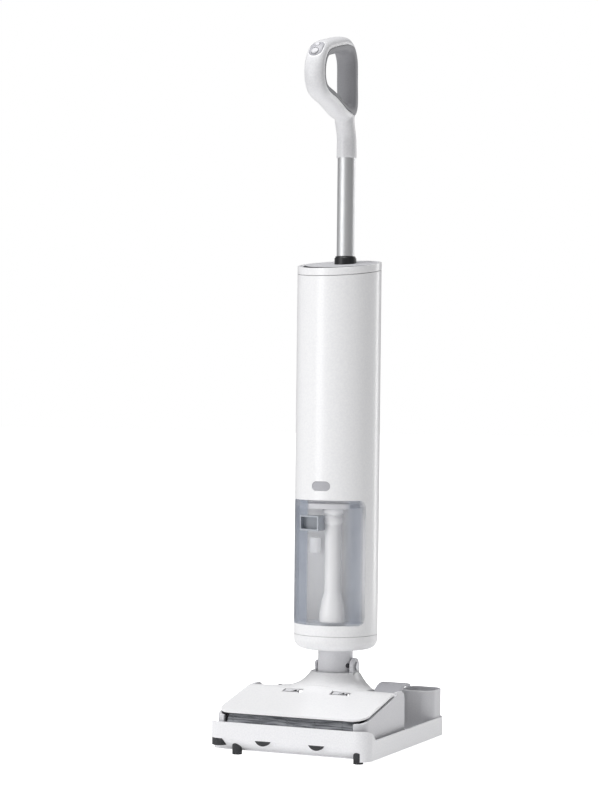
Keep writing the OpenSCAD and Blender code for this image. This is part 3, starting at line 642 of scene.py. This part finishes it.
def latch_skin(name, x_low, body, node):
    """A flush tab beside a lower pad, with a three-cornered hollow cut in the pad and painted black inside as
    painted shade.
    """
    start = np.array([x_low, LATCH_Y, float(cover_height(x_low, float(LATCH_Y))) - LATCH_SUNK])
    piece = slope_prism(name, [(0, 0), (LATCH_W, 0), (LATCH_W, LATCH_L), (0, LATCH_L)], 0, LATCH_T, start)
    hollow = slope_prism("cutter", [(11.8, 0.6), (21.0, 0.6), (17.6, 8.5)], 0.5, 6, start)
    gap = slope_prism("cutter", [(11.0, -1), (11.4, -1), (11.4, 10), (11.0, 10)], 1.2, 6, start)
    cut(piece, hollow, gap)
    install(piece, light_abs, body, node)
    # Painted shade: the hollow's walls and floor take the black plastic, standing in for the shade deep in the
    # hollow.
    piece.data.materials.append(black_abs)
    for polygon in piece.data.polygons:
        x, y, z = (np.array(polygon.center) / MM - start) @ LEAN_TURN.T
        hollow_painted_shade = 10.9 < x < 20.7 and 0.3 < y < 8.7 and 0.4 < z < LATCH_T - 0.1
        polygon.material_index = int(hollow_painted_shade)
    return edge_round(piece, 0.3)


latches = [latch_skin("latch_left_skin", -52, "latch_l", "latch_left"),
           latch_skin("latch_right_skin", 28, "latch_r", "latch_right")]
print("latches of", [len(latch.data.polygons) for latch in latches], "faces")

# %% [markdown]
# ## The handle
#
# The loop is one closed sweep: a rounded section carried round a smooth closed curve. The white
# shell is the outer side of the section and the grey soft lining is the inner side, so the two meet
# along a fine seam. The lining is wide on the rear bar, where the palm's heel rests, and narrow at
# the front. A neck runs down to the tube; shell and neck are fused and relaxed until they flow.

# %% The loop's curve and section
LOOP = np.array([(22.5, 1000), (23.5, 1040), (20.5, 1078), (0, 1096), (-42, 1090), (-88, 1075),
                 (-104, 1046), (-94, 1018), (-52, 1006), (-4, 992)], float)
LOOP_T, LOOP_W = 25.0, 33.0
PAD_PLACE, PAD_LEAN = (-100.9, 1078.1), math.radians(48.7)
PAD_R, PAD_STRAIGHT = 11, 6      # the pad's outline: two half circles with a straight part between


def loop_point(k):
    """The smooth curve through LOOP's points at k = 0..10: the Catmull-Rom cubic between two of them."""
    i = np.floor(k).astype(int)
    t = (k - i)[:, None]
    p0, p1, p2, p3 = (LOOP[(i + shift) % len(LOOP)] for shift in (-1, 0, 1, 2))
    return 0.5 * (2 * p1 + (p2 - p0) * t + (2 * p0 - 5 * p1 + 4 * p2 - p3) * t ** 2
                  + (3 * p1 - p0 - 3 * p2 + p3) * t ** 3)


def pad_frame(points):
    """Points (x, y, z) in the button pad's own frame: across, up the slope, and out of the handle."""
    y, z = points[:, 1] - AXIS - PAD_PLACE[0], points[:, 2] - PAD_PLACE[1]
    c, s = math.cos(PAD_LEAN), math.sin(PAD_LEAN)
    return np.stack([points[:, 0], c * y + s * z, c * z - s * y], axis=-1)


def from_pad(points):
    """The way back from the pad's own frame."""
    c, s = math.cos(PAD_LEAN), math.sin(PAD_LEAN)
    y, z = c * points[:, 1] - s * points[:, 2], s * points[:, 1] + c * points[:, 2]
    return np.stack([points[:, 0], y + AXIS + PAD_PLACE[0], z + PAD_PLACE[1]], axis=-1)


def pad_reach(points):
    """How far a point lies from the middle of the pad's outline: 1 on the outline of the oval."""
    along = np.maximum(np.abs(points[:, 1]) - PAD_STRAIGHT, 0)
    return np.hypot(points[:, 0], along) / PAD_R


def loop_side(outer, rings=260, sides=44):
    """The outer or the inner side of the section, closed straight across its open edge.

    At angle a the section is T/2 cos(a)^0.8 outwards and W/2 sin(a)^0.8 sideways. The two sides
    meet at the angle where its outward distance equals split, which changes round the loop.
    """
    k = np.linspace(0, len(LOOP), rings, endpoint=False)
    centre = loop_point(k)
    way = loop_point(k + 0.02) - loop_point(k - 0.02)
    way /= np.linalg.norm(way, axis=1)[:, None]
    normal = np.stack([way[:, 1], -way[:, 0]], axis=-1)
    split = -1 + 8 * soft_step((centre[:, 0] + 2) / 22) + (0.15 if outer else -0.15)
    ratio = split / (LOOP_T / 2)
    lean = np.arccos(np.sign(ratio) * np.abs(ratio) ** 1.25)
    u = np.linspace(0, 1, sides)[None]
    lean = lean[:, None]
    angle = lean * (2 * u - 1) if outer else lean + (2 * math.pi - 2 * lean) * u
    out = LOOP_T / 2 * np.sign(np.cos(angle)) * np.abs(np.cos(angle)) ** 0.8
    side = LOOP_W / 2 * np.sign(np.sin(angle)) * np.abs(np.sin(angle)) ** 0.8
    chord = np.linspace(0, 1, 12)[1:-1]
    out = np.concatenate([out, out[:, -1:] + (out[:, :1] - out[:, -1:]) * chord], axis=1)
    side = np.concatenate([side, side[:, -1:] + (side[:, :1] - side[:, -1:]) * chord], axis=1)
    y = centre[:, :1] + normal[:, :1] * out + AXIS
    z = centre[:, 1:] + normal[:, 1:] * out
    points = np.stack([side, y, z], axis=-1).reshape(-1, 3)
    return points, grid_faces(rings, sides + len(chord), True, True)


def relax(mesh, rounds, weight, keep_size=False):
    """Moves each point towards the mean of its neighbours, rounds times, by its weight times a half.

    With keep_size each round is followed by a slightly larger step the other way, so that creases
    soften but the form doesn't shrink.
    """
    count = len(mesh.vertices)
    points = np.empty(count * 3)
    mesh.vertices.foreach_get("co", points)
    points = points.reshape(-1, 3)
    edges = np.empty(len(mesh.edges) * 2, dtype=np.int64)
    mesh.edges.foreach_get("vertices", edges)
    a, b = edges.reshape(-1, 2).T
    degree = np.bincount(np.concatenate([a, b]), minlength=count)
    steps = (0.5, -0.51) if keep_size else (0.5,)
    for _ in range(rounds):
        for step in steps:
            total = np.stack([np.bincount(a, points[b, n], count) + np.bincount(b, points[a, n], count)
                              for n in range(3)], axis=-1)
            points = points + step * weight[:, None] * (total / degree[:, None] - points)
    mesh.vertices.foreach_set("co", points.ravel())
    mesh.update()


print("loop through", len(LOOP), "points")


# %% White shell, sunk where the button pad goes
PAD_SUNK = 4.2
shell_points, shell_faces = loop_side(True)
local = pad_frame(shell_points)
near_top = (local[:, 2] > -12) & (local[:, 2] < 8)
sunk = PAD_SUNK * soft_step((1.0 - pad_reach(local)) / 0.22) * near_top
shell_points[:, 1] += math.sin(PAD_LEAN) * sunk
shell_points[:, 2] -= math.cos(PAD_LEAN) * sunk
handle_skin = new_mesh("handle_skin", shell_points, shell_faces)
print("shell of", len(shell_faces), "faces")

# %% Neck, bent forward from the tube into the loop
NECK_RINGS, NECK_SIDES = 30, 64
NECK_LOW, NECK_TALL, NECK_R = 922.3, 74, 15.9
tube_y_mm = TUBE_Y / MM
levels = np.linspace(0, 1, NECK_RINGS)
neck_z = NECK_LOW + levels * NECK_TALL
neck_y = tube_y_mm - 10 * soft_step((neck_z - 948) / 38)
neck_r = NECK_R - 0.7 * np.sin(levels * math.pi) ** 2
angle = np.arange(NECK_SIDES) * 2 * math.pi / NECK_SIDES
neck_points = np.stack([
    neck_r[:, None] * np.cos(angle), neck_y[:, None] + neck_r[:, None] * np.sin(angle),
    np.broadcast_to(neck_z[:, None], (NECK_RINGS, NECK_SIDES))], axis=-1).reshape(-1, 3)
ends = np.array([(0, tube_y_mm, neck_z[0]), (0, neck_y[-1], neck_z[-1])])
low_end = len(neck_points)
top_ring = low_end - NECK_SIDES
turn = np.arange(NECK_SIDES)
onward = (turn + 1) % NECK_SIDES
low_cap = [(low_end, int(j), int(i)) for i, j in zip(turn, onward)]
top_cap = [(low_end + 1, top_ring + int(i), top_ring + int(j)) for i, j in zip(turn, onward)]
neck_form = new_mesh("neck_form", np.concatenate([neck_points, ends]),
                     [*grid_faces(NECK_RINGS, NECK_SIDES, wrap_cols=True), *low_cap, *top_cap])
print("neck of", len(neck_form.data.polygons), "faces")

# %% Fuse shell and neck, then relax the joint between them
BORE_R, BORE_TOP = 14.05, 950.2
bm = bmesh.new()
bm.from_mesh(handle_skin.data)
bm.from_mesh(neck_form.data)
bm.to_mesh(handle_skin.data)
bm.free()
bpy.data.objects.remove(neck_form)
fuse = handle_skin.modifiers.new("fuse", "REMESH")
fuse.mode = "VOXEL"
fuse.voxel_size = 1.15 * MM
baked(handle_skin)
places = np.empty(len(handle_skin.data.vertices) * 3)
handle_skin.data.vertices.foreach_get("co", places)
places = places.reshape(-1, 3) / MM
relax(handle_skin.data, 3, np.full(len(places), 0.9) * soft_step((places[:, 2] - 925) / 4))
near = np.exp(-((places[:, 1] - AXIS - 4) / 26) ** 2 - ((places[:, 2] - 984) / 17) ** 2)
relax(handle_skin.data, 14, near)
relax(handle_skin.data, 120, near, keep_size=True)
bore = lathe("cutter", [(0, 900), (BORE_R, 900), (BORE_R, BORE_TOP), (0, BORE_TOP)], (0, tube_y_mm, 0))
cut(handle_skin, bore)
handle_skin.data.shade_smooth()
handle_skin.data.set_sharp_from_angle(angle=math.radians(48))
install(handle_skin, handle_abs, "handle", "handle_shell", "handle_neck")
print("handle shell of", len(handle_skin.data.polygons), "faces")

# %% Grey lining
lining = new_mesh("handle_lining", *loop_side(False))
edge_round(lining, 0.5, degrees=40)
install(lining, grip_abs, "handle", "handle_grip")
print("lining of", len(lining.data.polygons), "faces")

# %% [markdown]
# ## Button pad
#
# The pad is an oval that follows the shell's curve and stands half a millimetre proud of it. Two
# domed buttons sit in holes through it: the larger one starts the machine, the smaller one the
# wash of the roller.

# %% Forms of the pad and the buttons
def dome_cap(name, middle_y, radius, top, depth, rise):
    """A round button: straight sides, a rounded shoulder and a shallow dome of height rise."""
    r = np.linspace(radius - 0.8, 0, 8)
    crown = [(a, top + rise * (1 - (a / radius) ** 2)) for a in r]
    side = rounded_line([(radius, top - depth), (radius, top), (radius - 0.9, top + 0.2)], 0.8)
    profile = np.concatenate([[(0, top - depth)], side, crown])
    points = lathe_points(profile, (0, 0, 0), 48) + [0, middle_y, 0]
    return new_mesh(name, from_pad(points), grid_faces(len(profile), 48, wrap_cols=True))


def pad_surface(x, y):
    """Top of the pad in its own frame: it falls off as the handle's own curve does."""
    return 2.3 - y ** 2 / 66 - x ** 2 / 60


print("pad stands", pad_surface(0, 0), "mm over its own frame")

# %% Oval pad with two holes
PAD_SIDES = 72
POWER_Y, POWER_HOLE, WASH_Y, WASH_HOLE = -7, 6.3, 7.5, 4.8
around = np.linspace(0, 2 * math.pi, PAD_SIDES, endpoint=False)
outline = np.stack([PAD_R * np.cos(around), PAD_R * np.sin(around) + PAD_STRAIGHT * np.sign(np.sin(around))],
                   axis=-1)
scale = [0.001, 0.2, 0.4, 0.6, 0.8, 0.92, 0.97, 1.0, 1.0, 1.0, 0.001]
drop = [0, 0, 0, 0, 0, 0, 0.12, 0.5, 2.0, None, None]      # None is the flat underside
rows = []
for size, fall in zip(scale, drop):
    flat = outline * size
    height = pad_surface(*flat.T) - fall if fall is not None else np.full(len(flat), -9.0)
    rows.append(np.column_stack([flat, height]))
pad = new_mesh("button_pad_skin", from_pad(np.concatenate(rows)),
               grid_faces(len(rows), PAD_SIDES, wrap_cols=True))
holes = []
for middle, radius in ((POWER_Y, POWER_HOLE), (WASH_Y, WASH_HOLE)):
    tool = lathe_points([(0.001, -12), (radius, -12), (radius, 8), (0.001, 8)], (0, middle, 0), 48)
    holes.append(new_mesh("cutter", from_pad(tool), grid_faces(4, 48, wrap_cols=True)))
cut(pad, *holes)
pad.data.shade_smooth()
pad.data.set_sharp_from_angle(angle=math.radians(35))
install(pad, plate_abs, "handle", "button_pad")
print("pad of", len(pad.data.polygons), "faces")

# %% Two domed buttons
power = dome_cap("power_button_skin", POWER_Y, 6.0, 2.0, 3.2, 0.7)
install(power, pale_abs, "power", "power_button")
wash = dome_cap("wash_button_skin", WASH_Y, 4.5, 1.9, 3.0, 0.6)
install(wash, pale_abs, "wash", "clean_button")
print("power and wash buttons")

# %% [markdown]
# ## Inlet pipe in the tank
#
# Dirty water rises through a white pipe in the middle of the tank and spills over into it. The pipe
# widens to a funnel foot over the inlet, and carries a collar with an outlet under the lid.

# %% Turned inlet pipe
PIPE_X, PIPE_Y = 8.0, AXIS - 33
PIPE_BORE = 10.5
pipe_line = rounded_line([
    (PIPE_BORE, 193.8), (20.5, 193.8), (20.5, 206), (17.5, 224), (13.2, 240), (12.8, 300), (12.8, 346),
    (15.2, 350), (15.2, 357), (12.9, 360), (12.9, 362), (16.8, 363), (16.8, 370), (12.7, 370.2), (12.7, 379.5),
    (PIPE_BORE, 379.5), (PIPE_BORE, 300), (PIPE_BORE, 193.8)], 3.0, 6)
pipe = lathe("inlet_pipe_skin", pipe_line, (PIPE_X, PIPE_Y, 0), 96)
pipe.data.set_sharp_from_angle(angle=math.radians(50))
install(pipe, white_abs, "dirty", "inlet_pipe")
print("inlet pipe of", len(pipe.data.polygons), "faces")

# %% [markdown]
# ## Roller fleece
#
# The roller wears a tube of cut pile microfibre wound on in a spiral. The pile stands in small
# tufts, pressed flatter along the winding's seam. A fine random field, averaged over its neighbours
# so that tufts have a size, moves the surface in and out by less than a millimetre.

# %% Tufted roller
ROLL_R, ROLL_HALF, CORE_R = 28.0, 103.0, 20.2
SPIRAL = 45      # mm along the roller for one turn of the winding
rng = np.random.default_rng(7)
cols, turns = 420, 220
field = rng.random((cols, turns))
tufts = sum(np.roll(np.roll(field, i, 0), j, 1) for i in (-1, 0, 1) for j in (-1, 0, 1)) / 9
x_mm = np.linspace(-ROLL_HALF, ROLL_HALF, cols)
turn_angle = np.arange(turns) * 2 * math.pi / turns
from_seam = np.abs(((x_mm[:, None] / SPIRAL - turn_angle[None] / (2 * math.pi)) % 1) - 0.5) * SPIRAL
radius = ROLL_R - 0.15 - 0.75 * (1 - tufts) - 0.5 * np.exp(-(from_seam / 1.2) ** 2)
radius[[0, -1]] -= 1.0
inner = np.full((1, turns), CORE_R)
xs = np.concatenate([[-ROLL_HALF], x_mm, [ROLL_HALF]])
rad = np.concatenate([inner, radius, inner])
axle_y, axle_z = ROLLER[1] / MM, ROLLER[2] / MM
roll_points = np.stack([
    np.broadcast_to(xs[:, None], rad.shape), axle_y + rad * np.cos(turn_angle),
    axle_z + rad * np.sin(turn_angle)], axis=-1).reshape(-1, 3)
pile = new_mesh("fleece_pile", roll_points, grid_faces(len(xs), turns, wrap_rows=True, wrap_cols=True))
install(pile, fleece, "roller", "roller_fleece")
print("pile of", len(pile.data.polygons), "faces")

# %% [markdown]
# ## Tilt lock screw
#
# A small dark cap covers the screw in the front right of the neck, just above the flare. The packed
# model leaves it out, so it is added here and rides on the neck.

# %% Screw cap on the neck
turn_to = math.radians(-90 + 67)      # from the front, 67 degrees towards +X
out_way = np.array([math.cos(turn_to), math.sin(turn_to), 0])
side_way = np.array([-out_way[1], out_way[0], 0])
cap_line = rounded_line([(0.01, 2.0), (3.4, 2.0), (4.0, -1.5), (0.01, -1.5)], 0.8)
flat = lathe_points(cap_line, (0, 0, 0), 40)
cap_points = (np.array([0, AXIS, 124.5]) + out_way * (27.5 + flat[:, 2:3]) + side_way * flat[:, :1]
              + np.array([0, 0, 1]) * flat[:, 1:2])
screw_cap = new_mesh("neck_screw_cap", cap_points, grid_faces(len(cap_line), 40, wrap_cols=True))
install(screw_cap, dark_abs, "neck")
print("screw cap added")

# %% [markdown]
# ## Soft edges on the moulded parts
#
# No moulded edge is truly sharp: the mould's cutter leaves a small radius that catches the light.
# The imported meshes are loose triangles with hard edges, so each such part is copied, its points are
# merged, flat neighbours are joined into whole faces, and a narrow bevel rounds every sharp edge.
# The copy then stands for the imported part.

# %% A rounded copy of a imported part
def rounded_copy(node, radius_mm):
    """The node's own surface with merged points and a bevel on every edge sharper than 32 degrees."""
    source = frame["nodes"][node]
    bm = bmesh.new()
    bm.from_mesh(source.data)
    bmesh.ops.remove_doubles(bm, verts=bm.verts, dist=1e-6)
    bmesh.ops.dissolve_limit(bm, angle_limit=math.radians(0.4), verts=bm.verts, edges=bm.edges)
    mesh = bpy.data.meshes.new(node + "_rounded")
    bm.to_mesh(mesh)
    bm.free()
    piece = bpy.data.objects.new(node + "_rounded", mesh)
    scene.collection.objects.link(piece)
    mesh.materials.clear()
    mesh.materials.append(finish_of[node])
    edge_round(piece, radius_mm, degrees=32)
    piece.modifiers["edge_radius"].miter_outer = "MITER_ARC"
    mesh.set_sharp_from_angle(angle=math.radians(50))
    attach(piece, source["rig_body"])
    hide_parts(node)
    return piece


EDGE_RADIUS = {      # in mm
    "tray_base": 1.2, "accessory_cup": 0.8, "end_plate_left": 1.0, "end_plate_right": 1.0,
    "wheel_fender": 1.0, "neck_fork": 1.0, "neck_tube": 0.6, "body_base": 0.4, "body_shell": 0.6,
    "top_rim": 0.6, "top_plate": 0.5, "display_panel": 0.4, "tube_collar": 0.8, "tray_feet": 1.0,
    "grip_pads": 0.6, "release_button": 0.7, "wheel_left": 0.6, "wheel_right": 0.6, "tyre_left": 0.8,
    "tyre_right": 0.8, "power_socket": 0.6, "tank_grip": 0.6, "clean_cap": 0.6, "tank_lid": 0.5,
    "tank_float": 0.6, "dirty_tank": 0.6, "clean_tank": 0.6, "suction_duct": 0.6, "head_chassis": 0.5,
    "tank_bay": 0.5, "handle_tube": 0.3, "tilt_pins": 0.4, "roller_core": 0.3, "spray_bar": 0.3,
    "roller_motor": 0.5, "suction_motor": 0.8, "water_pump": 0.6, "charge_posts": 0.4,
}
rounded = {node: rounded_copy(node, radius) for node, radius in EDGE_RADIUS.items()}
print("rounded", len(rounded), "parts")
